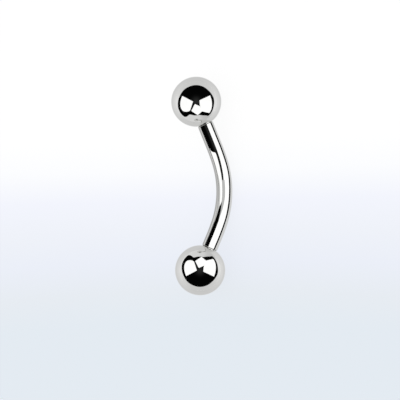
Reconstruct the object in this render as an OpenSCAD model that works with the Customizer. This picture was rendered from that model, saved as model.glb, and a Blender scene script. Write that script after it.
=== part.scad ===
// Belly button ring: a curved barbell. A round bar is bent once, off its middle, and turned down at
// each end to a threaded stud. A ball screws on to each stud and seats against the bar's shoulder.
// Millimetres, +Z up, and the table that it lies on is z = 0. It lies as it comes to rest by itself,
// on both balls and on the outside of the bend. The balls lie along X, with the upper ball, as it is
// worn, at +X, and the bend points forwards and down, towards -Y.

/* [Balls] */
// Diameter of each ball
ball_d = 5; // [4.5:0.1:5.5]

/* [Bar] */
// Diameter of the bar, which is its gauge
bar_d = 1.6; // [1.5:0.05:1.8]
// Distance from the upper ball's centre to the corner that the bend rounds off
upper_leg = 9.75; // [9:0.05:11]
// Distance from the lower ball's centre to the same corner
lower_leg = 8.45; // [8.2:0.05:11]
// Angle that the bar turns through in its bend
bend_angle = 44.7; // [38:0.1:50]
// Radius of the bend, measured to the middle of the bar
bend_r = 10.4; // [9:0.1:10.8]

/* [Threads] */
// Outer diameter of the thread on each stud
thread_d = 1.2; // [1:0.05:1.25]
// Length of each stud, from the shoulder to the tip
thread_l = 2.4; // [2:0.1:2.6]

/* [Hidden] */
$fn = 96;

// Clearances and small cut edges
socket_play = 0.03;   // between the bar and the wall of the shallow socket in the ball
socket_depth = 0.1;   // from the socket's rim on the ball's surface to its floor
shoulder_gap = 0.01;  // from the socket's floor back to the bar's shoulder
thread_play = 0.03;   // between the stud and the ball's hole
tip_room = 0.4;       // left in the hole past the stud's tip
drill_point = 118;    // angle at the blind end of the hole
shoulder_cut = 0.05;  // bevel on the bar's shoulder
tip_cut = 0.15;       // bevel on the stud's tip
mouth_cut = 0.08;     // bevel at the mouth of the ball's hole
bend_lap = 2;         // degrees that each half of the bend runs past its middle

ball_r = ball_d / 2;
bar_r = bar_d / 2;
stud_r = thread_d / 2;
hole_r = stud_r + thread_play;
socket_r = bar_r + socket_play;

// Distances from a ball's centre, along its stud
socket_rim = sqrt(ball_r * ball_r - socket_r * socket_r);
socket_floor = socket_rim - socket_depth;
shoulder = socket_floor + shoulder_gap;
hole_l = thread_l + tip_room;

// The triangle of the two ball centres and the corner of the bend
span = sqrt(upper_leg * upper_leg + lower_leg * lower_leg + 2 * upper_leg * lower_leg * cos(bend_angle));
upper_angle = asin(lower_leg * sin(bend_angle) / span);
lower_angle = bend_angle - upper_angle;

// The bend: where it leaves the legs, its centre, and how far its outermost point is from the line
// between the balls
bend_start = bend_r * tan(bend_angle / 2);
bend_x = span / 2 - (upper_leg - bend_start) * cos(upper_angle) - bend_r * sin(upper_angle);
bend_y = bend_r * cos(upper_angle) - (upper_leg - bend_start) * sin(upper_angle);
bend_drop = bend_r - bend_y;

// The barbell's plane leans until the outside of the bend meets the table, and y_shift puts the
// origin under the middle of the whole
rest_tilt = asin(min(1, (ball_r - bar_r) / bend_drop));
front_reach = bend_drop * cos(rest_tilt) + bar_r;
y_shift = (front_reach - ball_r) / 2;

// Takes the barbell from the bend's centre, with the middle of the bend straight along -Y, to where
// it lies at rest
module lying() {
    translate([0, y_shift, ball_r])
        rotate([rest_tilt, 0, 0])
            translate([bend_x, bend_y, 0])
                rotate([0, 0, (upper_angle - lower_angle) / 2])
                    children();
}

// Takes half of the barbell, whose straight stretch starts on +X and runs along -Y, to its side of
// the bend. The upper half is the lower one turned over.
module side(upper) {
    rotate([0, upper ? 180 : 0, 0])
        rotate([0, 0, -90 - bend_angle / 2])
            children();
}

// Puts its children that far along the straight stretch, with +Z pointing away from the bend
module along(distance) {
    translate([bend_r, -distance, 0])
        rotate([90, 0, 0])
            children();
}

// Half of the bar: its share of the bend, its straight stretch and its stud. The bend runs on past its
// middle, so that the two halves share a stretch there and join into one piece.
module half_bar(to_ball) {
    tip = to_ball - shoulder + thread_l;
    rotate_extrude(angle = bend_angle / 2 + bend_lap)
        translate([bend_r, 0])
            circle(r = bar_r);
    along(0)
        rotate_extrude()
            polygon([
                [0, 0],
                [bar_r, 0],
                [bar_r, to_ball - shoulder - shoulder_cut],
                [bar_r - shoulder_cut, to_ball - shoulder],
                [stud_r, to_ball - shoulder],
                [stud_r, tip - tip_cut],
                [stud_r - tip_cut, tip],
                [0, tip]
            ]);
}

module bar() {
    color([0.78, 0.78, 0.77])
        lying()
            union() {
                side(true) half_bar(upper_leg - bend_start);
                side(false) half_bar(lower_leg - bend_start);
            }
}

// What is cut from a ball: a shallow socket for the bar, and a blind hole for the stud
module threaded_hole() {
    rim_room = ball_r - socket_floor;
    translate([0, 0, -socket_floor - rim_room])
        cylinder(r = socket_r, h = rim_room);
    translate([0, 0, -socket_floor])
        rotate_extrude()
            polygon([
                [0, -rim_room / 2],
                [hole_r + mouth_cut, -rim_room / 2],
                [hole_r + mouth_cut, 0],
                [hole_r, mouth_cut],
                [hole_r, hole_l],
                [0, hole_l + hole_r / tan(drill_point / 2)]
            ]);
}

module ball() {
    difference() {
        sphere(r = ball_r);
        threaded_hole();
    }
}

module upper_ball() {
    color([0.82, 0.82, 0.81])
        lying()
            side(true) along(upper_leg - bend_start) ball();
}

module lower_ball() {
    color([0.82, 0.82, 0.81])
        lying()
            side(false) along(lower_leg - bend_start) ball();
}

bar();
upper_ball();
lower_ball();
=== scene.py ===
# %% [markdown]
# # A curved barbell in mirror-polished steel
#
# A belly button ring is a short steel bar with one bend in it and a ball screwed on to each end.
# This lesson dresses the measured model of one: every piece is modelled again with finer edges and
# real threads, gets a polished finish, and is lit so that the polish has something to reflect.
#
# Everything is in metres and in the frame of the measured model, so a piece needs no fitting. The
# ring lies on a table at z = 0, with the upper ball at +X and the outside of its bend towards -Y.

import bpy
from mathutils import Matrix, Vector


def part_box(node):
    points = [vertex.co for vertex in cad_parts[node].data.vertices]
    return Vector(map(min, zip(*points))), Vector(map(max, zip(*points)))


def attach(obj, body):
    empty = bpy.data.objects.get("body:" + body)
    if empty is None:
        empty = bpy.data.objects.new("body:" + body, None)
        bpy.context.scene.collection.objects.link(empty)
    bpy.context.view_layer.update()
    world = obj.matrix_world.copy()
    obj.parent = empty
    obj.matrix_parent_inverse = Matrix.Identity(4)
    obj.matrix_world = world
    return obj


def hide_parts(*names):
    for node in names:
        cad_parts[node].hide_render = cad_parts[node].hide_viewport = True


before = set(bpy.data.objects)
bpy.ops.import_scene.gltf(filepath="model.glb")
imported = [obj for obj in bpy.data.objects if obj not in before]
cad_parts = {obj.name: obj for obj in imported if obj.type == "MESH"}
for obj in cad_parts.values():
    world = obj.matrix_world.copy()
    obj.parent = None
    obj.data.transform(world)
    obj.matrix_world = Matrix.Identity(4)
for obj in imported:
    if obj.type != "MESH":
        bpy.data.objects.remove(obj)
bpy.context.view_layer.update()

# %% [markdown]
# ## The sizes that everything hangs on
#
# The real ring is made to a few round numbers: a 1.6 mm bar, 5 mm balls and an M1.2 thread. The
# rest follows from the triangle between the two ball centres and the corner that the bend rounds
# off, so it is worked out here.

# %% Sizes of the ring
import math

import bmesh
import bpy
from mathutils import Matrix, Vector

MM = 0.001
BALL_R = 2.5 * MM
BAR_R = 0.8 * MM
UPPER_LEG = 9.75 * MM
LOWER_LEG = 8.45 * MM
BEND = math.radians(44.7)
BEND_R = 10.4 * MM
STUD_R = 0.6 * MM
STUD_L = 2.4 * MM
HOLE_R = 0.63 * MM
HOLE_L = 2.8 * MM
DRILL_POINT = math.radians(118)
SOCKET_R = 0.83 * MM
SOCKET_DEPTH = 0.1 * MM
MOUTH_CUT = 0.08 * MM
PITCH = 0.25 * MM

# Distances from a ball's centre towards the bar
socket_rim = math.sqrt(BALL_R**2 - SOCKET_R**2)
socket_floor = socket_rim - SOCKET_DEPTH
shoulder = socket_floor + 0.01 * MM

# The triangle of the ball centres and the bend's corner
span = math.sqrt(UPPER_LEG**2 + LOWER_LEG**2 + 2 * UPPER_LEG * LOWER_LEG * math.cos(BEND))
upper_angle = math.asin(LOWER_LEG * math.sin(BEND) / span)
lower_angle = BEND - upper_angle
bend_start = BEND_R * math.tan(BEND / 2)
upper_straight = UPPER_LEG - bend_start
lower_straight = LOWER_LEG - bend_start


def in_mm(numbers, digits=3):
    """Lengths in millimetres, rounded for printing."""
    return [round(v / MM, digits) for v in numbers]


print("ball centres", *in_mm([span]), "mm apart, legs at", round(math.degrees(upper_angle), 2),
      "and", round(math.degrees(lower_angle), 2), "degrees")

# %% [markdown]
# ## Where the pieces go
#
# A piece is easiest to model standing straight up on the Z axis, as if it were in a lathe. So each
# one is modelled there and then carried to its place by a matrix. The ring rests on both balls and
# on the outside of its bend, which makes its plane lean over by about 41 degrees.

# %% The way from the lathe to the table
bend_x = span / 2 - upper_straight * math.cos(upper_angle) - BEND_R * math.sin(upper_angle)
bend_y = BEND_R * math.cos(upper_angle) - upper_straight * math.sin(upper_angle)
bend_drop = BEND_R - bend_y
lean = math.asin((BALL_R - BAR_R) / bend_drop)
shift_y = (bend_drop * math.cos(lean) + BAR_R - BALL_R) / 2

# From the bend's centre, with the middle of the bend along -Y, to the table
lying = (Matrix.Translation((0, shift_y, BALL_R)) @ Matrix.Rotation(lean, 4, "X")
         @ Matrix.Translation((bend_x, bend_y, 0))
         @ Matrix.Rotation((upper_angle - lower_angle) / 2, 4, "Z"))


def axes_at(origin, *axes):
    """The place with this origin and these X, Y and Z axes."""
    return Matrix.Translation(origin) @ Matrix(axes).transposed().to_4x4()


def leg(upper, distance):
    """The place that far along a leg, with +Z pointing out along the leg."""
    turned_over = Matrix.Rotation(math.pi if upper else 0, 4, "Y")
    start = Matrix.Rotation(-math.pi / 2 - BEND / 2, 4, "Z")
    out = Matrix.Translation((BEND_R, -distance, 0)) @ Matrix.Rotation(math.pi / 2, 4, "X")
    return turned_over @ start @ out


upper_ball_place = lying @ leg(True, upper_straight)
lower_ball_place = lying @ leg(False, lower_straight)
print("lean", round(math.degrees(lean), 3), "degrees, ball centres at",
      in_mm(upper_ball_place.translation), in_mm(lower_ball_place.translation))

# %% [markdown]
# ## The camera first
#
# The camera looks square on to the ring's plane, from 49 degrees above the table, and is rolled
# so that the upper ball is at the top of the picture. It comes before the lights, because each
# light is put where the camera will see its reflection in the polish.

# %% Camera
CAMERA_AWAY = 400 * MM
LENS, SENSOR = 360.4, 36.0  # mm
AIM_RIGHT, AIM_DOWN = 0.18 * MM, 1.4 * MM
ROLL = math.radians(1.322)
plane_right = Vector((0, -math.cos(lean), -math.sin(lean)))
plane_up = Vector((1, 0, 0))
facing = Vector((0, -math.sin(lean), math.cos(lean)))
picture_right = plane_right * math.cos(ROLL) - plane_up * math.sin(ROLL)
picture_up = plane_right * math.sin(ROLL) + plane_up * math.cos(ROLL)

aim = Vector((0, shift_y, BALL_R)) + picture_right * AIM_RIGHT - picture_up * AIM_DOWN
eye = aim + facing * CAMERA_AWAY
camera_data = bpy.data.cameras.new("product_camera")
camera_data.lens = LENS
camera_data.sensor_width = SENSOR
camera_data.clip_start = 0.005
camera_data.clip_end = 20
camera = bpy.data.objects.new("product_camera", camera_data)
bpy.context.scene.collection.objects.link(camera)
camera.matrix_world = axes_at(eye, picture_right, picture_up, facing)
bpy.context.scene.camera = camera
print("camera", in_mm(eye))

# %% [markdown]
# ## Working as if by hand
#
# An operator works on all that is selected. These few helpers pick one piece, or the faces or
# edges of it that lie in a certain place, so that the next operator touches only those.


# %% Helpers for picking and shaping
def take(piece):
    """Makes this piece the only one selected, and the active one."""
    bpy.ops.object.select_all(action="DESELECT")
    piece.select_set(True)
    bpy.context.view_layer.objects.active = piece


def add(primitive, name, **sizes):
    """A new primitive from its operator, the only piece selected."""
    bpy.ops.object.select_all(action="DESELECT")
    primitive(**sizes)
    bpy.context.object.name = name
    return bpy.context.object


def modify(piece, kind, **settings):
    """Gives the active piece a modifier and applies it."""
    modifier = piece.modifiers.new(kind, kind)
    for name, value in settings.items():
        setattr(modifier, name, value)
    bpy.ops.object.modifier_apply(modifier=modifier.name)


def edit(piece):
    """Opens the piece in edit mode, with all of it selected."""
    take(piece)
    bpy.ops.object.mode_set(mode="EDIT")
    bpy.ops.mesh.select_all(action="SELECT")


def close_up():
    """Points all faces outwards and leaves edit mode."""
    bpy.ops.mesh.select_all(action="SELECT")
    bpy.ops.mesh.normals_make_consistent()
    bpy.ops.object.mode_set(mode="OBJECT")


def pick(piece, kind, wanted):
    """In edit mode, selects only the faces or edges whose middle passes the test."""
    bpy.ops.mesh.select_mode(type=kind)
    bpy.ops.mesh.select_all(action="DESELECT")
    mesh = bmesh.from_edit_mesh(piece.data)
    mesh.select_mode = {kind}
    if kind == "FACE":
        found = [f for f in mesh.faces if wanted(f.calc_center_median())]
    else:
        found = [e for e in mesh.edges if wanted((e.verts[0].co + e.verts[1].co) / 2)]
    for item in found:
        item.select_set(True)
    mesh.select_flush_mode()
    bmesh.update_edit_mesh(piece.data)
    return len(found)


def turn(radius, steps):
    """Extrudes the picked round face up the lathe's axis, by (rise, new radius) steps."""
    for rise, new_radius in steps:
        bpy.ops.mesh.extrude_region_move(TRANSFORM_OT_translate={"value": (0, 0, rise)})
        ratio = new_radius / radius
        if ratio != 1:
            bpy.ops.transform.resize(value=(ratio, ratio, 1), center_override=(0, 0, 0))
        radius = new_radius


def twin(piece):
    """A copy of the piece with a mesh of its own."""
    made = piece.copy()
    made.data = piece.data.copy()
    bpy.context.scene.collection.objects.link(made)
    return made


def put(piece, place):
    """Carries a finished piece to its place and leaves its object at the origin."""
    take(piece)
    piece.matrix_world = place
    bpy.ops.object.transform_apply()


def tell(piece):
    """Prints how large the finished piece is, and whether its skin is closed."""
    mesh = bmesh.new()
    mesh.from_mesh(piece.data)
    open_edges = sum(not e.is_manifold for e in mesh.edges)
    volume = mesh.calc_volume(signed=True) / MM**3
    triangles = sum(len(f.verts) - 2 for f in mesh.faces)
    mesh.free()
    print(f"{piece.name}: {triangles} triangles, {volume:.3f} cubic mm, {open_edges} open edges")


# %% [markdown]
# ## The thread cutter
#
# An M1.2 thread is a V-shaped groove that winds round the stud, a quarter of a millimetre a turn.
# A bumpy texture could fake it, but an unscrewed ball shows the stud against the light, where
# only real teeth give a toothed edge. So a small plane gets the section of the groove, the Screw
# modifier winds it into a long spring, and the spring is cut out of the metal. The same cutter,
# turned inside out, cuts the thread in a ball.

# %% A spring with the section of a thread groove
GROOVE_W = 0.236 * MM  # at the groove's open side
ROOT_SHARE = 0.2       # of that width is left at its root
THREAD_TURNS = 11
DOUBLES = 1e-7


def thread_cutter(root, open_side, level):
    """A spring round Z: narrow at the root radius and wide at the open side of the groove."""
    cutter = add(bpy.ops.mesh.primitive_plane_add, "thread_cutter", size=1,
                 location=((root + open_side) / 2, 0, level), rotation=(math.pi / 2, 0, 0))
    cutter.scale = (abs(open_side - root), GROOVE_W, 1)
    bpy.ops.object.transform_apply()
    edit(cutter)
    pick(cutter, "EDGE", lambda p: abs(p.x - root) < 0.01 * MM)
    bpy.ops.transform.resize(value=(1, 1, ROOT_SHARE), center_override=(root, 0, level))
    bpy.ops.mesh.select_all(action="SELECT")
    bpy.ops.mesh.delete(type="ONLY_FACE")
    bpy.ops.object.mode_set(mode="OBJECT")
    modify(cutter, "SCREW", axis="Z", angle=2 * math.pi, screw_offset=PITCH,
           iterations=THREAD_TURNS, steps=64, render_steps=64)
    edit(cutter)
    bpy.ops.mesh.remove_doubles(threshold=DOUBLES)
    bpy.ops.mesh.select_all(action="SELECT")
    bpy.ops.mesh.fill_holes(sides=4)
    close_up()
    tell(cutter)
    return cutter


def cut_thread(piece, cutter):
    """Cuts the spring out of the piece and throws the spring away."""
    take(piece)
    modify(piece, "BOOLEAN", operation="DIFFERENCE", solver="EXACT", object=cutter)
    bpy.data.objects.remove(cutter)
    tell(piece)


# %% [markdown]
# ## The ball
#
# The real ball is turned from bar stock, drilled, tapped and polished. It starts as a sphere with
# its poles on the thread's axis, is sliced where the socket opens, and the flat that the slice
# leaves is pushed in step by step: socket wall, socket floor, mouth of the hole, hole and the cone
# that the drill leaves. Both balls are the same, so the ball is made once and copied.

# %% One ball, standing on the lathe
# A few thousandths of a millimetre are polished off, which keeps the smoother ball inside the
# measured one
ball_skin = BALL_R - 0.004 * MM
rim_level = -math.sqrt(ball_skin**2 - SOCKET_R**2)
floor_level = -socket_floor
ball = add(bpy.ops.mesh.primitive_uv_sphere_add, "ball_blank", segments=192, ring_count=96,
           radius=ball_skin)
edit(ball)
bpy.ops.mesh.bisect(plane_co=(0, 0, rim_level), plane_no=(0, 0, 1), clear_inner=True,
                    use_fill=True, threshold=1e-9)
print("slice:", pick(ball, "FACE", lambda p: p.z < rim_level + 0.0001 * MM), "flat face")
turn(SOCKET_R, (
    (floor_level - rim_level, SOCKET_R), (0, HOLE_R + MOUTH_CUT), (MOUTH_CUT, HOLE_R),
    (HOLE_L - MOUTH_CUT, HOLE_R), (HOLE_R / math.tan(DRILL_POINT / 2), HOLE_R)))
bpy.ops.mesh.merge(type="CENTER")

# The polishing wheel rounds the sharp rim of the socket
rim_edges = pick(ball, "EDGE", lambda p: abs(p.z - rim_level) < 0.002 * MM
                 and abs(math.hypot(p.x, p.y) - SOCKET_R) < 0.003 * MM)
bpy.ops.mesh.bevel(offset=0.025 * MM, segments=4, affect="EDGES")
bpy.ops.object.mode_set(mode="OBJECT")
print("rim edges rounded:", rim_edges)
tell(ball)

# %% [markdown]
# The tapped thread goes outwards from the hole, so its spring is narrow on the outside. It starts
# just below the mouth and stops before the end of the hole, as a tap does.

# %% Tap the ball
TAP_DEPTH = 0.07 * MM
THREAD_LEAD = 0.1 * MM  # from where a thread's cutter starts to the socket's floor or the shoulder
cut_thread(ball, thread_cutter(HOLE_R + TAP_DEPTH, HOLE_R - TAP_DEPTH, floor_level - THREAD_LEAD))

# %% [markdown]
# ## The end of the bar
#
# Each end of the bar is turned down: a rounded shoulder that seats in the ball's socket, a narrow
# relief where the threading die runs out, the threaded stud and a bevelled tip. It is modelled as
# a lathe would cut it, from one round face that is pushed up and scaled, ring by ring. The shoulder
# gets one more ring a little below its edge, which keeps the reflection on the bar straight right
# up to the rounding.

# %% One end, with its shoulder at z = 0
bar_skin = BAR_R - 0.002 * MM
BASE_L, RING_L = 0.05 * MM, 0.035 * MM  # straight metal, before and after the extra ring
NECK_R, NECK_L = 0.733 * MM, 0.145 * MM
SLOPE_L = 0.07 * MM   # from the bar down to the neck
RELIEF_R, RELIEF_L = 0.44 * MM, 0.14 * MM
RUN_OUT = 0.08 * MM   # from the relief up to the stud
TIP_CUT = 0.15 * MM
GROOVE_DEPTH = 0.15 * MM
CUTTER_OUT = 0.04 * MM  # how far the cutter stands out of the stud
NEAR = 0.001 * MM
edge_level = -NECK_L - SLOPE_L
root_level = edge_level - RING_L - BASE_L
end = add(bpy.ops.mesh.primitive_circle_add, "bar_end", vertices=128, radius=bar_skin,
          fill_type="NGON", location=(0, 0, root_level))
bpy.ops.object.transform_apply()
edit(end)
turn(bar_skin, (
    (BASE_L, bar_skin), (RING_L, bar_skin), (SLOPE_L, NECK_R), (NECK_L, NECK_R),
    (0, RELIEF_R), (RELIEF_L, RELIEF_R), (RUN_OUT, STUD_R),
    (STUD_L - RELIEF_L - RUN_OUT - TIP_CUT, STUD_R), (TIP_CUT, STUD_R - TIP_CUT)))

pick(end, "EDGE", lambda p: abs(p.z) < NEAR and math.hypot(p.x, p.y) > 0.7 * MM)
bpy.ops.mesh.bevel(offset=0.05 * MM, segments=5, affect="EDGES")
pick(end, "EDGE", lambda p: abs(p.z - edge_level) < NEAR)
bpy.ops.mesh.bevel(offset=0.02 * MM, segments=4, affect="EDGES")
close_up()
tell(end)
cut_thread(end, thread_cutter(STUD_R - GROOVE_DEPTH, STUD_R + CUTTER_OUT, THREAD_LEAD))

# %% [markdown]
# ## The bend
#
# The bar is bent cold over a form. A ring spun round the form's centre gives the bend, in small
# enough steps to look smooth in a mirror finish. Steel doesn't bend in one place all at once, so
# the first and last stretch are spun with twice the radius. The three arcs keep within 0.02 mm of
# the single arc of the measured bar.

# %% Three spins
EASE = 0.8 * MM             # half the length of an easing stretch
MAIN_R = 10.0101 * MM       # radius between the two easing stretches
APEX = BEND_R - 0.002 * MM  # from the bend's centre to the outermost point of the bar's centreline
ease_turn = EASE / MAIN_R
main_turn = BEND - 2 * ease_turn


def spoke(angle):
    """The direction from the bend's centre out to the bar, at this angle from the middle."""
    return Vector((math.sin(angle), -math.cos(angle), 0))


def onward(angle):
    """The direction along the bar there, towards the upper ball."""
    return Vector((math.cos(angle), math.sin(angle), 0))


main_centre = Vector((0, MAIN_R - APEX, 0))
lower_centre = main_centre - spoke(-main_turn / 2) * MAIN_R
upper_centre = main_centre - spoke(main_turn / 2) * MAIN_R

bar = add(bpy.ops.mesh.primitive_circle_add, "polished_bar", vertices=128, radius=bar_skin,
          fill_type="NOTHING")
out, ahead = spoke(-BEND / 2), onward(-BEND / 2)
put(bar, axes_at(lower_centre + out * 2 * MAIN_R, out, ahead.cross(out), ahead))

edit(bar)
for centre, angle, steps in ((lower_centre, ease_turn, 24), (main_centre, main_turn, 144),
                             (upper_centre, ease_turn, 24)):
    bpy.ops.mesh.spin(steps=steps, angle=-angle, center=centre, axis=(0, 0, 1))
bpy.ops.mesh.select_all(action="SELECT")
bpy.ops.mesh.remove_doubles(threshold=DOUBLES)
bpy.ops.object.mode_set(mode="OBJECT")
print("bend ends at", in_mm(bar.data.vertices[0].co))
tell(bar)

# %% [markdown]
# ## One bar out of three parts
#
# The end and its copy lose their flat inner faces and go to the ends of the legs. Everything is
# joined and the open rings are bridged: the two bridges are the straight stretches of the bar.

# %% Join and bridge
upper_end, lower_end = twin(end), end
for part, place in ((upper_end, leg(True, upper_straight - shoulder)),
                    (lower_end, leg(False, lower_straight - shoulder))):
    edit(part)
    print("inner face:", pick(part, "FACE", lambda p: abs(p.z - root_level) < NEAR))
    bpy.ops.mesh.delete(type="ONLY_FACE")
    bpy.ops.object.mode_set(mode="OBJECT")
    put(part, place)

take(bar)
upper_end.select_set(True)
lower_end.select_set(True)
bpy.ops.object.join()
bpy.ops.object.mode_set(mode="EDIT")
for side in (-1, 1):
    bpy.ops.mesh.select_mode(type="EDGE")
    bpy.ops.mesh.select_all(action="DESELECT")
    bpy.ops.mesh.select_non_manifold()
    mesh = bmesh.from_edit_mesh(bar.data)
    for edge in mesh.edges:
        if edge.select and edge.verts[0].co.x * side < 0:
            edge.select_set(False)
    bmesh.update_edit_mesh(bar.data)
    bpy.ops.mesh.bridge_edge_loops()
close_up()
tell(bar)

# %% [markdown]
# ## Marks for the finishes
#
# A lathe leaves its fine lines round the axis, so a finish has to know how far along the axis a
# spot is, and how far out from it. Object coordinates can't say that on a bent bar. So each piece
# gets two numbers stored at every corner of its mesh, in millimetres: "along" and "out".


# %% Store along and out
def mark(piece, measure):
    """Stores what the function measures at every corner, as the attributes along and out."""
    pairs = [measure(v.co) for v in piece.data.vertices]
    for name, values in zip(("along", "out"), zip(*pairs)):
        stored = piece.data.attributes.new(name, "FLOAT", "POINT")
        stored.data.foreach_set("value", [v / MM for v in values])
        print(piece.name, name, "from and to, mm:", in_mm((min(values), max(values)), 2))


def on_ball(p):
    """Along and out on a ball that stands on the lathe."""
    return p.z, math.hypot(p.x, p.y)


def unrolled(p):
    """How far a spot is along the bent bar, and how far it is to the outside of the bend."""
    angle = max(-BEND / 2, min(BEND / 2, math.atan2(p.x, -p.y)))
    return BEND_R * angle + onward(angle).dot(p), spoke(angle).dot(p) - BEND_R


def on_bar(p):
    """Along and out on the bent bar, measured from the middle of the bend."""
    along, sideways = unrolled(p)
    return along, math.hypot(sideways, p.z)


mark(ball, on_ball)
mark(bar, on_bar)

# %% [markdown]
# ## Effects that the finishes share
#
# Even a mirror polish isn't perfect close up: it has a faint haze from wiping and hairline
# scratches, and the turned places keep the lines of the tool. Each effect is a node group, built
# once, which a finish places with values of its own.


# %% Building blocks for node groups
def feed(made, feeds):
    """Feeds a node's sockets, by name or number, with values or with other sockets."""
    for key, value in feeds.items():
        socket = made.inputs[key]
        if isinstance(value, bpy.types.NodeSocket):
            made.id_data.links.new(value, socket)
        else:
            socket.default_value = value


def node(tree, kind, options={}, *values, **feeds):
    """Adds a node, sets its options and feeds its sockets, in their order or by name."""
    made = tree.nodes.new("ShaderNode" + kind)
    for name, value in options.items():
        setattr(made, name, value)
    feed(made, {**dict(enumerate(values)), **feeds})
    return made


def maths(tree, operation, *values):
    """The result of one Math node."""
    return node(tree, "Math", {"operation": operation}, *values).outputs[0]


def times(tree, product, *values):
    """The product of all the values."""
    for value in values:
        product = maths(tree, "MULTIPLY", product, value)
    return product


def vectors(tree, operation, *values):
    """The result of one Vector Math node."""
    made = node(tree, "VectorMath", {"operation": operation}, *values)
    return made.outputs["Value" if operation in ("DOT_PRODUCT", "LENGTH") else "Vector"]


def mix(tree, share, a, b, way="MIX"):
    """Two colours mixed, with that share of the second."""
    made = node(tree, "Mix", {"data_type": "RGBA", "blend_type": way}, share)
    feed(made, {6: a, 7: b})
    return made.outputs[2]


def use(tree, group, **feeds):
    """Places a shared effect, and gives its outputs."""
    return node(tree, "Group", {"node_tree": group}, **feeds).outputs


def effect(name, takes, gives):
    """An empty shader node group with these sockets: its tree, what it takes and what it gives."""
    group = bpy.data.node_groups.new(name, "ShaderNodeTree")
    for title, start in takes.items():
        kind = "NodeSocketVector" if isinstance(start, tuple) else "NodeSocketFloat"
        group.interface.new_socket(title, in_out="INPUT", socket_type=kind).default_value = start
    for title in gives:
        group.interface.new_socket(title, in_out="OUTPUT", socket_type="NodeSocketFloat")
    taken = group.nodes.new("NodeGroupInput").outputs
    return group, taken, group.nodes.new("NodeGroupOutput")


def spread(tree, value, low, high, to_low=0.0, to_high=1.0):
    """Maps a range of values to another one, clamped."""
    return node(tree, "MapRange", {}, value, low, high, to_low, to_high).outputs[0]


def ramp(tree, value, low, high, stops):
    """A colour ramp over the range of the value, from (value, colour or grey) stops."""
    made = node(tree, "ValToRGB", {}, spread(tree, value, low, high))
    elements = made.color_ramp.elements
    while len(elements) < len(stops):
        elements.new(0.5)
    for element, (at, tone) in zip(elements, stops):
        element.position = (at - low) / (high - low)
        element.color = (*tone, 1) if isinstance(tone, tuple) else (tone, tone, tone, 1)
    return made.outputs[0]


# %% [markdown]
# Hairlines are noise, stretched until its blobs are long thin lines. Two sets of them cross at an
# angle, and only the peaks of the noise show.

# %% Hairlines
hairlines, takes, gives = effect(
    "hairlines", {"Place": (0, 0, 0), "Spacing": 0.05, "Amount": 0.5}, ["Mask"])
lines = []
for turned in ((0.4, 0.9, 0.3), (1.3, -0.5, 1.9)):
    across = vectors(hairlines, "DIVIDE", takes["Place"], takes["Spacing"])
    laid = node(hairlines, "Mapping", {}, across, Rotation=turned, Scale=(0.012, 0.5, 0.5))
    streaks = node(hairlines, "TexNoise", {}, laid.outputs[0], Scale=1.0, Detail=1.5,
                   Roughness=0.4)
    lines.append(spread(hairlines, streaks.outputs[0], 0.66, 0.74))
crossed = maths(hairlines, "MAXIMUM", *lines)
feed(gives, {"Mask": times(hairlines, crossed, takes["Amount"])})
print("hairlines:", len(hairlines.nodes), "nodes")

# %% [markdown]
# Haze is a soft cloudy pattern, about a millimetre across, where a polishing cloth or a finger has
# wiped over the steel.

# %% Wiping haze
haze, takes, gives = effect("wiping_haze", {"Place": (0, 0, 0), "Size": 1.0}, ["Mask"])
clouds = node(haze, "TexNoise", {}, vectors(haze, "DIVIDE", takes["Place"], takes["Size"]),
              Scale=1.0, Detail=4.0, Roughness=0.6, Distortion=0.6)
feed(gives, {"Mask": spread(haze, clouds.outputs[0], 0.4, 0.7)})
print("wiping haze:", len(haze.nodes), "nodes")

# %% [markdown]
# Tool lines run round the axis, so they change only along it. One-dimensional noise, read with the
# stored "along", draws them on bent and straight stretches alike.

# %% Tool lines
tool_lines, takes, gives = effect("tool_lines", {"Along": 0.0, "Pitch": 0.02}, ["Height"])
grooves = node(tool_lines, "TexNoise", {"noise_dimensions": "1D"},
               W=maths(tool_lines, "DIVIDE", takes["Along"], takes["Pitch"]), Scale=1.0,
               Detail=2.0, Roughness=0.5)
feed(gives, {"Height": grooves.outputs[0]})
print("tool lines:", len(tool_lines.nodes), "nodes")

# %% [markdown]
# ## The polished steel
#
# Surgical steel takes a finish that is close to a mirror: fully metallic, very smooth and a
# little warmer and darker than silver. Haze and hairlines make it slightly rougher in places,
# which is what tells an eye that it is metal and not glass.


# %% Polished steel
def finish(name):
    """A new material with its shader, and the place of each spot on the piece in millimetres."""
    material = bpy.data.materials.new(name)
    material.use_nodes = True
    tree = material.node_tree
    where = node(tree, "TexCoord").outputs["Object"]
    place = node(tree, "VectorMath", {"operation": "SCALE"}, where, Scale=1 / MM).outputs[0]
    return material, tree, tree.nodes["Principled BSDF"], place


def polish(name, clean, dull, smooth, spacing):
    """Mirror-polished steel with haze and hairlines."""
    material, tree, shader, place = finish(name)
    scratched = use(tree, hairlines, Place=place, Spacing=spacing, Amount=0.6)[0]
    hazy = use(tree, haze, Place=place, Size=1.4)[0]
    worn = maths(tree, "MULTIPLY_ADD", scratched, 0.5, spread(tree, hazy, 0, 1, to_high=0.35))
    bump = node(tree, "Bump", {"invert": True}, Strength=0.25, Distance=0.0002 * MM,
                Height=scratched)
    feed(shader, {"Base Color": mix(tree, worn, clean, dull), "Metallic": 1.0,
                  "Roughness": maths(tree, "MULTIPLY_ADD", worn, 0.035, smooth),
                  "Normal": bump.outputs[0]})
    return material


# The balls and the bar are one steel. The bar's copy is given a darker colour, painted shade that
# makes its reflections darker than the balls'.
ball_steel = polish("polished_ball_steel", (0.8, 0.8, 0.79, 1), (0.72, 0.72, 0.705, 1), 0.012,
                    0.06)
shaded_bar_steel = polish("polished_bar_steel", (0.75, 0.75, 0.74, 1), (0.68, 0.68, 0.665, 1), 0.014,
                   0.05)
print("polished finishes:", ball_steel.name, shaded_bar_steel.name)
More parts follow.
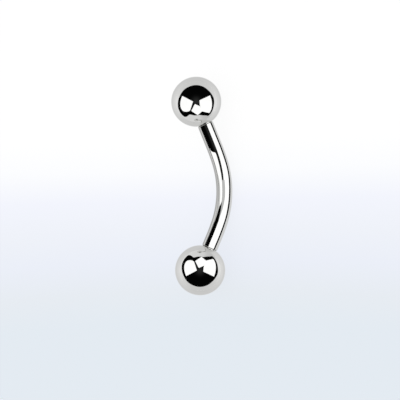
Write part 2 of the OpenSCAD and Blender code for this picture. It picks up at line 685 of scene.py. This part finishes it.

# %% [markdown]
# ## The cut threads
#
# The thread, the socket and the hole come straight from the tool and are never polished. They are
# a duller grey, with lines round the axis. Their colour follows the stored "out": painted shade
# makes the roots of the thread and the socket darker, and the crests lighter.


# %% Cut steel
def cut_steel(name, root, crest):
    """Turned and threaded steel, dark at the root radius and bright at the crest radius, in mm."""
    material, tree, shader, place = finish(name)
    along, out = (node(tree, "Attribute", {"attribute_name": stored}).outputs["Fac"]
                  for stored in ("along", "out"))
    lines = use(tree, tool_lines, Along=along, Pitch=0.018)[0]
    hazy = use(tree, haze, Place=place, Size=0.5)[0]
    # Painted shade: darker from the crest radius to the root radius, in the roots and the socket
    colour = mix(tree, spread(tree, out, root, crest), (0.3, 0.29, 0.27, 1), (0.66, 0.66, 0.65, 1))
    stained = mix(tree, spread(tree, hazy, 0, 1, to_high=0.5), colour, (0.82, 0.8, 0.76, 1),
                  "MULTIPLY")
    bump = node(tree, "Bump", Strength=0.5, Distance=0.002 * MM, Height=lines)
    feed(shader, {"Base Color": stained, "Metallic": 1.0,
                  "Roughness": maths(tree, "MULTIPLY_ADD", lines, 0.22, 0.14),
                  "Normal": bump.outputs[0]})
    return material


def dress(piece, polished, cut, is_cut):
    """Gives the piece its two finishes, the cut one where the test says so."""
    piece.data.materials.clear()
    piece.data.materials.append(polished)
    piece.data.materials.append(cut)
    edit(piece)
    piece.active_material_index = 0
    bpy.ops.object.material_slot_assign()
    count = pick(piece, "FACE", is_cut)
    piece.active_material_index = 1
    bpy.ops.object.material_slot_assign()
    bpy.ops.object.mode_set(mode="OBJECT")
    bpy.ops.object.shade_smooth_by_angle(angle=math.radians(32))
    print(piece.name, "has", count, "cut faces")


def in_hole(p):
    """Whether a spot of the ball is inside its socket or hole."""
    return p.length < ball_skin - 0.03 * MM


def on_stud(p):
    """Whether a spot of the bar is on an end, past the rounding of the shoulder."""
    far, from_axis = on_bar(p)
    straight = upper_straight if far > 0 else lower_straight
    end_at = straight - shoulder + BEND_R * BEND / 2
    return abs(far) > end_at - 0.003 * MM and from_axis < 0.76 * MM


dress(ball, ball_steel, cut_steel("cut_hole_steel", 0.7, 0.63), in_hole)
dress(bar, shaded_bar_steel, cut_steel("cut_stud_steel", 0.45, 0.6), on_stud)

# %% [markdown]
# ## To their places
#
# The second ball is a copy with a mesh of its own. Each piece rides on the body of the part that it
# stands for, so that a ball comes off its stud when the model unscrews it.

# %% Place, ride and replace
upper_ball, lower_ball = ball, twin(ball)
upper_ball.name = "polished_upper_ball"
lower_ball.name = "polished_lower_ball"
for piece, body, place in ((bar, "bar", lying), (upper_ball, "upper_ball", upper_ball_place),
                           (lower_ball, "lower_ball", lower_ball_place)):
    put(piece, place)
    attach(piece, body)
    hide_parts(body)
    low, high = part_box(body)
    print(piece.name, "stands for", body, in_mm((*low, *high)))
    tell(piece)

# %% [markdown]
# ## The table
#
# A plain pale table, white at the top of the picture and a touch blue at the bottom. Most of its
# light is its own, like the lit glass of a product table, so the ring throws only a faint shadow.
# Reflections leave it out: the polish shows the studio instead.

# %% Table
table = add(bpy.ops.mesh.primitive_plane_add, "table", size=4.0)
table.visible_glossy = False
table.visible_shadow = False

lit_glass, tree, shader, place = finish("lit_glass")
tree.nodes.remove(shader)
FAN = 60  # mm
OWN_LIGHT = 0.86
table_tones = (
    (-13.2, (0.767, 0.823, 0.88)), (-10.4, (0.791, 0.831, 0.88)), (-7.4, (0.823, 0.855, 0.93)),
    (-4.4, (0.855, 0.88, 0.939)), (-1.4, (0.887, 0.905, 0.973)), (1.6, (0.965, 0.973, 0.991)),
    (4.6, (0.995, 0.995, 0.999)), (7.6, (1.0, 1.0, 1.0)))
tone_span = table_tones[0][0], table_tones[-1][0]
# Near the ring the tones lie in plain bands. Far away they fan out, which blurs them towards the
# horizon.
across = node(tree, "SeparateXYZ", {}, place).outputs[0]
away = maths(tree, "DIVIDE", vectors(tree, "LENGTH", place), FAN)
fan = maths(tree, "SQRT", maths(tree, "MULTIPLY_ADD", away, away, 1.0))
tone = ramp(tree, maths(tree, "DIVIDE", across, fan), *tone_span, table_tones)
# Close under a ball the light doesn't get in, which shows where the ring touches the table
gap = node(tree, "AmbientOcclusion", {"samples": 8}, Distance=0.1 * MM)
shaded = ramp(tree, gap.outputs["AO"], 0, 1, ((0.1, 0.3), (0.8, 1.0)))
tone = mix(tree, 1.0, tone, shaded, "MULTIPLY")
glowing = node(tree, "Emission", Color=tone, Strength=OWN_LIGHT + 0.01)
catching = node(tree, "BsdfDiffuse", Color=tone)
both = node(tree, "AddShader", {}, glowing.outputs[0], catching.outputs[0])
feed(tree.nodes["Material Output"], {"Surface": both.outputs[0]})
table.data.materials.append(lit_glass)
print("table is", round(table.dimensions.x, 2), "m wide")

# %% [markdown]
# ## The studio around the ring
#
# A mirror ball shows the whole room. Here everything beside and behind the ring is pale paper,
# which gives each ball its even grey border, and everything on the camera's side is dark, apart
# from the windows of the softboxes, which gives it its black middle. The world shader draws that
# room from directions alone, so it stays put when the camera moves.

# %% Pale behind, dark in front
PAPER_END = -0.32  # how far it comes towards the camera, as a cosine
paper, takes, gives = effect("pale_paper", {"Direction": (0, 0, 1)},
                             ["Inside", "Front", "Glow", "Shade"])
towards = vectors(paper, "NORMALIZE", takes["Direction"])
front, upwards, rightwards = (vectors(paper, "DOT_PRODUCT", towards, way)
                              for way in (facing, picture_up, picture_right))
glow = ramp(paper, front, -1.0, 0.0, (
    (-1.0, 0.7), (-0.8, 0.745), (-0.62, 0.824), (-0.445, 0.85), (-0.28, 0.88), (-0.2, 0.9)))
squared = times(paper, upwards, upwards)
feed(gives, {"Inside": maths(paper, "LESS_THAN", front, PAPER_END), "Front": front,
             "Glow": times(paper, glow, spread(paper, squared, 0, 1, to_low=1, to_high=0.78)),
             "Shade": spread(paper, rightwards, -0.35, -0.05, to_low=0.7)})
print("pale paper:", len(paper.nodes), "nodes")

# %% [markdown]
# The world places the paper. On the camera's side it is all but black, and a little less so right
# behind the camera. What one piece shows in another is nearly all pale, as far as the picture goes.

# %% The room
DARK, DARK_GLOW, DARK_FOCUS = 0.0016, 0.024, 18.0
PALE = 0.8
FRONTMOST = 0.85  # nearer than this to the camera's direction, a second reflection stays dark
room = bpy.data.worlds.new("room")
bpy.context.scene.world = room
room.use_nodes = True
room.cycles.sampling_method = "NONE"
bpy.context.scene.view_settings.view_transform = "Standard"
tree = room.node_tree
tree.nodes.clear()
looking = node(tree, "TexCoord").outputs["Generated"]
papered = use(tree, paper, Direction=looking)
pale = times(tree, papered["Glow"], papered["Inside"], papered["Shade"])
dark = maths(tree, "POWER", maths(tree, "MAXIMUM", papered["Front"], 0.0), DARK_FOCUS)
mirrored = maths(tree, "MAXIMUM", pale, maths(tree, "MULTIPLY_ADD", dark, DARK_GLOW, DARK))
ray = node(tree, "LightPath").outputs
again = times(tree, maths(tree, "GREATER_THAN", ray["Glossy Depth"], 1.5),
              maths(tree, "LESS_THAN", papered["Front"], FRONTMOST), PALE)
mirrored = maths(tree, "MAXIMUM", mirrored, again)
polish_ray = times(tree, ray["Is Glossy Ray"], maths(tree, "LESS_THAN", ray["Diffuse Depth"], 0.5))
seen = mix(tree, polish_ray, (1 - OWN_LIGHT, 1 - OWN_LIGHT, 1 - OWN_LIGHT, 1), mirrored)
# Behind the table the camera sees the tones that the table has at its far edge
far_off = node(tree, "SeparateXYZ", {}, looking).outputs[0]
backdrop = ramp(tree, times(tree, far_off, FAN), *tone_span, table_tones)
lit = node(tree, "Background", {}, mix(tree, ray["Is Camera Ray"], seen, backdrop))
node(tree, "OutputWorld", {}, lit.outputs[0])
print("room:", len(tree.nodes), "nodes")

# %% [markdown]
# ## Lights that only one piece sees
#
# In the studio each ball catches the softboxes in its own way. Light linking lets one light show in
# one piece only. Each light here is an area light whose nodes cut it to a shape, as black card does
# on a real softbox. A Light Path node keeps it to what the camera sees straight in the piece.


# %% Cut-out area lights
def area_light(name, piece, low, high, centre, axes, glow=1.0):
    """The nodes of an area light over low..high of its plane, which shows in one piece."""
    data = bpy.data.lights.new(name, "AREA")
    data.shape = "RECTANGLE"
    data.size = high[0] - low[0]
    data.size_y = high[1] - low[1]
    data.energy = glow * math.pi * data.size * data.size_y
    data.use_nodes = True
    lamp = bpy.data.objects.new(name, data)
    bpy.context.scene.collection.objects.link(lamp)
    middle = centre + axes[0] * (low[0] + high[0]) / 2 + axes[1] * (low[1] + high[1]) / 2
    lamp.matrix_world = axes_at(middle, *axes)
    lamp.visible_camera = False
    lamp.visible_diffuse = False
    linked = bpy.data.collections.new(name + "_shows_in")
    linked.objects.link(piece)
    lamp.light_linking.receiver_collection = linked
    return data.node_tree


def spot_from(tree, centre):
    """The way from the centre to each spot of a light."""
    spot = node(tree, "NewGeometry").outputs["Position"]
    return vectors(tree, "SUBTRACT", spot, centre)


def shine(tree, level):
    """Lets a light glow at that level, in the first reflection only."""
    ray = node(tree, "LightPath").outputs
    lit = times(tree, level, maths(tree, "LESS_THAN", ray["Glossy Depth"], 1.5),
                maths(tree, "LESS_THAN", ray["Diffuse Depth"], 0.5))
    feed(tree.nodes["Emission"], {"Strength": lit})


# %% [markdown]
# ## What the balls show
#
# The outlines are given on the ball's face as the camera sees it, from -1 to 1 across and up, with
# the other ball downwards. The upper and the lower ball mirror each other. Each shows two tall
# windows that lean outwards, a small one between them, and pale paper that reaches further in on
# the side of the bar.
#
# A mirror that shows a light to the camera faces half way between the two. So the nodes of a window
# work out, for each spot on the light, which way the polish that shows it faces. That is its place
# on the ball's face, and the light stays on where this lies inside every edge of the outline.

# %% Windows in the balls
FAR = 0.6           # metres from a ball to its lights
WINDOW_GLOW = 1.27
windows = {
    "left": [(-.552, .228), (-.13, .008), (-.197, -.2), (-.246, -.348), (-.313, -.388),
             (-.4, -.401), (-.493, -.389), (-.552, -.35), (-.602, -.275), (-.628, -.198),
             (-.636, -.12), (-.634, -.06), (-.63, 0), (-.612, .078), (-.6, .119),
             (-.573, .195)],
    "middle": [(-.048, -.0945), (.148, -.18), (.238, -.375), (.172, -.435), (.128, -.475),
               (.056, -.536), (-.166, -.388), (-.195, -.362), (-.074, -.125)],
    "right": [(.127, .054), (.553, .252), (.598, .116), (.608, .078), (.62, 0), (.626, -.08),
              (.6255, -.16), (.616, -.239), (.594, -.316), (.558, -.393), (.52, -.447),
              (.465, -.437), (.4, -.424), (.325, -.406), (.235, -.384), (.16, -.2),
              (.141, -.12), (.134, -.08), (.131, 0)]}


def face_of(centre, upside):
    """Right, up and towards the camera on a ball's face."""
    toward = (eye - centre).normalized()
    right = (picture_right - toward * picture_right.dot(toward)).normalized()
    return right, toward.cross(right) * upside, toward


def ball_window(name, ball, centre, face, shape):
    """A window that shows in one ball with the given outline."""
    right, up, toward = face
    edges = list(zip(shape, shape[1:] + shape[:1]))
    lines = []
    for (a, b), (c, d) in edges:
        for part in (0, 0.25, 0.5, 0.75):
            x, y = a + (c - a) * part, b + (d - b) * part
            height = math.sqrt(1 - x**2 - y**2)
            lines.append((right * x + up * y) * 2 * height + toward * (2 * height**2 - 1))
    away = sum(lines, Vector()).normalized()
    side = away.orthogonal().normalized()
    axes = (side, away.cross(side), away)
    flat = [[FAR * line.dot(axis) / line.dot(away) for axis in axes[:2]] for line in lines]
    low, high = ([pick_one(f[i] for f in flat) for i in (0, 1)] for pick_one in (min, max))
    tree = area_light(name, ball, low, high, centre + away * FAR, axes, WINDOW_GLOW)

    line = vectors(tree, "NORMALIZE", spot_from(tree, centre))
    half_way = vectors(tree, "NORMALIZE", vectors(tree, "ADD", line, toward))
    inside = 1.0
    middle = [sum(place[i] for place in shape) / len(shape) for i in (0, 1)]
    for (a, b), (c, d) in edges:
        across, upwards = b - d, c - a
        if across * (middle[0] - a) + upwards * (middle[1] - b) < 0:
            across, upwards = -across, -upwards
        past = vectors(tree, "DOT_PRODUCT", half_way, right * across + up * upwards)
        past = maths(tree, "GREATER_THAN", past, across * a + upwards * b)
        inside = times(tree, inside, past)
    shine(tree, inside)


balls = (("upper", upper_ball, upper_ball_place.translation, 1),
         ("lower", lower_ball, lower_ball_place.translation, -1))
for word, ball, centre, upside in balls:
    for side, shape in windows.items():
        ball_window(f"{word}_{side}", ball, centre, face_of(centre, upside), shape)
print("lights so far:", len(bpy.data.lights))

# %% [markdown]
# ## The edge of the paper in the balls
#
# The pale paper reaches further into a ball's picture at the top than at the sides, and furthest on
# the bar's side. So the room's paper ends well outside, and cards round each ball carry it inwards
# to the edge that the polish shows. The edge is one ramp: the way round the ball goes in, and how
# far towards the camera the paper reaches comes out.

# %% Where the paper ends in a ball
# (degrees round from the right, distance from the ball's middle, brightness)
ball_line = [(-180, .729, .93), (-168, .75, .93), (-161, .764, .92), (-148, .773, .9),
             (-134, .773, .84), (-128, .767, .84), (-125.5, .747, .84), (-122.5, .705, .84),
             (-120.5, .653, .84), (-117.5, .575, .83), (-110.6, .555, .82), (-98, .552, .82),
             (-77, .538, .78), (-67.4, .582, .68), (-55, .668, .63), (-49.8, .744, .65),
             (-41.6, .747, .72), (-32, .738, .84), (-21, .728, .93), (-12, .717, .94),
             (4, .714, .93), (13, .71, .9), (20.6, .694, .86), (28.5, .681, .82),
             (45, .661, .76), (90, .664, .715), (115, .666, .73), (135, .682, .77),
             (152, .69, .82), (160, .695, .86), (168, .708, .9), (180, .729, .93)]
bar_line = [(-180, .7, .66), (-166, .713, .67), (-159.5, .73, .84), (-90, .74, .8),
            (-22.7, .705, .84), (-19, .712, .84), (-13, .745, .84), (-2, .765, .82),
            (2.5, .78, .82), (7, .812, .8), (12, .822, .8), (18, .81, .8), (22, .825, .8),
            (90, .74, .8), (157, .722, .88), (163, .7, .9), (168, .7, .84), (174, .7, .68),
            (180, .7, .66)]


def paper_edge(name, line, unshaded):
    """A shader node group that is bright up to the edge of the paper, as the line gives it."""
    ways = ("Right", "Far", "Toward")
    group, takes, gives = effect(name, dict.fromkeys(("Offset", *ways), (0, 0, 1)), ["Level"])
    direction = vectors(group, "NORMALIZE", takes["Offset"])
    right, far, toward = (vectors(group, "DOT_PRODUCT", direction, takes[way]) for way in ways)
    way_round = maths(group, "DEGREES", maths(group, "ARCTAN2", far, right))
    # A spot that far from the middle of a ball mirrors what is 1 - 2 * distance**2 towards the eye
    height = ramp(group, way_round, -180, 180, [(at, 1 - reach**2) for at, reach, _ in line])
    height = maths(group, "MULTIPLY_ADD", height, 2, -1)
    level = ramp(group, way_round, -180, 180, [(at, glow) for at, _, glow in line])
    papered = use(group, paper, Direction=direction)
    level = times(group, level, maths(group, "LESS_THAN", toward, height),
                  maths(group, "SUBTRACT", 1.0, papered["Inside"]))
    if unshaded:
        # The balls don't see the shade on the inside of the bend, so their cards make up for it
        lack = times(group, maths(group, "SUBTRACT", 1.0, papered["Shade"]), papered["Glow"])
        level = maths(group, "MULTIPLY_ADD", lack, papered["Inside"], level)
    feed(gives, {"Level": level})
    return group


ball_paper = paper_edge("ball_paper", ball_line, unshaded=True)
bar_paper = paper_edge("bar_paper", bar_line, unshaded=False)
print("edges of the paper:", len(ball_line), "and", len(bar_line), "places")

# %% [markdown]
# Five plain rectangles stand round each ball like the walls and the bottom of a box. Each glows
# only where the ramp says that there is paper.

# %% Cards round the balls
WALL_END = 0.62  # of their distance, from the ball towards the camera


def card(name, piece, centre, face, edge, sideways, outward, low, high):
    """A rectangle of paper beside the piece, from low to high towards the camera."""
    tree = area_light(name, piece, (-FAR, low * FAR), (FAR, high * FAR), centre + outward * FAR,
                      (sideways, outward.cross(sideways), outward))
    right, far, toward = face
    shine(tree, use(tree, edge, Offset=spot_from(tree, centre), Right=right, Far=far,
                    Toward=toward)[0])


for word, ball, centre, upside in balls:
    right, far, toward = face_of(centre, upside)
    walls = [(toward.cross(outward), outward, -1.0, WALL_END)
             for outward in (right, far, -right, -far)]
    for number, wall in enumerate([*walls, (right, -toward, -1.0, 1.0)]):
        card(f"{word}_card_{number}", ball, centre, (right, far, toward), ball_paper, *wall)
print("lights so far:", len(bpy.data.lights))

# %% [markdown]
# ## What the bar shows
#
# A softbox shows in a straight bar as one even stripe, and along a bend the stripe drifts and
# changes width. Here one light lies a little above the ring, and nodes unroll it along the bend:
# they turn a place on it into how far along the bar it is and how far to the side. The outlines of
# its bright parts are then plain lines, which ramps can hold.

# %% Where the bar's reflections go
ABOVE = 1.6 * MM
bend_centre = lying.translation
along_x, along_y = lying.col[0].to_3d(), lying.col[1].to_3d()


def on_light(along, across):
    """Where the light shows in a spot of the bar, in mm along the bar and mm to its side.

    The spot is given in mm along the bar and from -1 to 1 across the face that the camera sees.
    """
    angle = max(-BEND / 2, min(BEND / 2, along * MM / BEND_R))
    middle = lying @ (spoke(angle) * BEND_R + onward(angle) * (along * MM - BEND_R * angle))
    ahead = (lying.to_3x3() @ onward(angle)).normalized()
    toward = eye - middle
    toward = (toward - ahead * toward.dot(ahead)).normalized()
    normal = ahead.cross(toward) * across + toward * math.sqrt(1 - across**2)
    spot = middle + normal * BAR_R
    sight = (spot - eye).normalized()
    back = sight - 2 * sight.dot(normal) * normal
    hit = spot + back * ((bend_centre + facing * ABOVE - spot).dot(facing) / back.dot(facing))
    return [v / MM for v in unrolled(lying.inverted() @ hit)]


print("the middle of the bar shows the light at", [round(v, 2) for v in on_light(0, 0)],
      "and half way to its edge at", [round(v, 2) for v in on_light(0, 0.5)])

# %% [markdown]
# The outlines below are (mm along the bar, -1 to 1 across it), read off the polish. The upper end
# has a dark field with a round end, the middle of the bend carries a second narrow stripe and a
# grey one beside it, and the stripe on the outside runs the whole length.

# %% Outlines in the bar
stripe_inner = [(8, .15), (5.3, .155), (4.3, .145), (3.9, .128), (3.5, .115), (3.1, .095),
                (2.7, .072), (2.3, .052), (1.9, .04), (1.5, .017), (1.3, 0), (1.23, .1),
                (.5, .105), (-.5, .095), (-.9, .06), (-1.3, .01), (-1.7, -.03), (-2.1, -.09),
                (-2.5, -.14), (-3.3, -.185), (-4.1, -.195), (-8, -.187)]
stripe_outer = [(8, .62), (6, .63), (4.9, .638), (3.5, .627), (1.9, .65), (1.3, .64), (.9, .618),
                (.1, .585), (-1.1, .567), (-2.3, .556), (-3.1, .535), (-4, .523), (-8, .52)]
second_meets_rim = [(4.4, -.63), (3.9, -.63), (2, -.62), (1.5, -.57), (.7, -.53), (-.9, -.5)]
second_inner = [(4.85, -.66), *second_meets_rim, (-1.45, -.45)]
second_outer = [(4.85, -.66), (4.6, -.62), (4.45, -.58), (4.35, -.5), (4.25, -.4),
                (4.18, -.25), (4.1, -.16), (4.0, -.14), (3.7, -.15), (3.3, -.165), (2.9, -.185),
                (2.5, -.2), (2.1, -.212), (1.5, -.218), (1.1, -.22), (.7, -.255),
                (-.9, -.265), (-1.1, -.305), (-1.25, -.355), (-1.45, -.45)]
grey_inner = [(1.35, .25), (1.29, -.04), (1.22, -.17), (1.05, -.22), (.7, -.255), (-.9, -.262),
              (-1.3, -.235), (-2.5, -.205), (-2.9, -.18), (-3.0, .2)]
rim_outer = [(5.3, -.7), (4.9, -.67), *second_meets_rim, (-1.45, -.455), (-1.7, -.5),
             (-2.1, -.55), (-2.5, -.58), (-2.9, -.615), (-3.4, -.645), (-3.9, -.69), (-5.2, -.7)]
STRIPE_GLOW, GREY_GLOW, RIM_GLOW = 1.4, 0.62, 0.72

# %% [markdown]
# Each outline becomes a ramp: the way along the light goes in, and the edge's place to the side
# comes out. A spot of the light is bright when its own place lies between two edges.

# %% The overhead light
LONG, WIDE = 44 * MM, 27 * MM
tree = area_light("bar_overhead", bar, (-LONG / 2, -WIDE / 2), (LONG / 2, WIDE / 2),
                  bend_centre - along_y * BEND_R + facing * ABOVE, (along_x, along_y, facing))
spot = spot_from(tree, bend_centre)
x = vectors(tree, "DOT_PRODUCT", spot, along_x / MM)
y = vectors(tree, "DOT_PRODUCT", spot, -along_y / MM)
angle = maths(tree, "MINIMUM", maths(tree, "ARCTAN2", x, y), BEND / 2)
angle = maths(tree, "MAXIMUM", angle, -BEND / 2)
cosine, sine = maths(tree, "COSINE", angle), maths(tree, "SINE", angle)
along = maths(tree, "SUBTRACT", times(tree, x, cosine), times(tree, y, sine))
along = maths(tree, "MULTIPLY_ADD", angle, BEND_R / MM, along)
side = maths(tree, "MULTIPLY_ADD", x, sine, times(tree, y, cosine))
side = maths(tree, "SUBTRACT", side, BEND_R / MM)

# The ramps go this far along, and their edges this far to each side, in mm
REACH, ASIDE = 14, 20


def edge_of(outline):
    """The sideways place, in mm, of an outline of the bar's light."""
    places = []
    for (a, b), (c, d) in zip(outline, outline[1:]):
        # A short outline has stops to spare on its slanting stretches
        steps = 3 if abs(d - b) > 0.02 and len(outline) < 11 else 1
        places += [on_light(a + (c - a) * i / steps, b + (d - b) * i / steps)
                   for i in range(steps)]
    places.append(on_light(*outline[-1]))
    stops = sorted((at, (shift + ASIDE) / (2 * ASIDE)) for at, shift in places)
    return maths(tree, "MULTIPLY_ADD", ramp(tree, along, -REACH, REACH, stops), 2 * ASIDE, -ASIDE)


def between(low, high):
    """1 where the light's place to the side is between two edges."""
    return times(tree, maths(tree, "GREATER_THAN", side, low),
                 maths(tree, "LESS_THAN", side, high))


inner = edge_of(stripe_inner)
bright = maths(tree, "ADD", between(inner, edge_of(stripe_outer)),
               between(edge_of(second_inner), edge_of(second_outer)))
level = times(tree, maths(tree, "LESS_THAN", side, edge_of(rim_outer)), RIM_GLOW)
level = maths(tree, "MULTIPLY_ADD", between(edge_of(grey_inner), inner), GREY_GLOW, level)
shine(tree, maths(tree, "MULTIPLY_ADD", bright, STRIPE_GLOW, level))
print("overhead light:", len(tree.nodes), "nodes")

# %% [markdown]
# The bar's two long edges mirror the paper beside it. As with the balls, a card on each side
# carries it inwards to where the polish shows its edge.

# %% Cards beside the bar
middle = bend_centre - along_y * BEND_R
bar_face = (picture_right, picture_up, (eye - middle).normalized())
for word, outward in (("inside", -picture_right), ("outside", picture_right)):
    card("bar_" + word, bar, middle, bar_face, bar_paper, facing.cross(outward), outward, -0.5, 0.2)
print("lights:", len(bpy.data.lights))
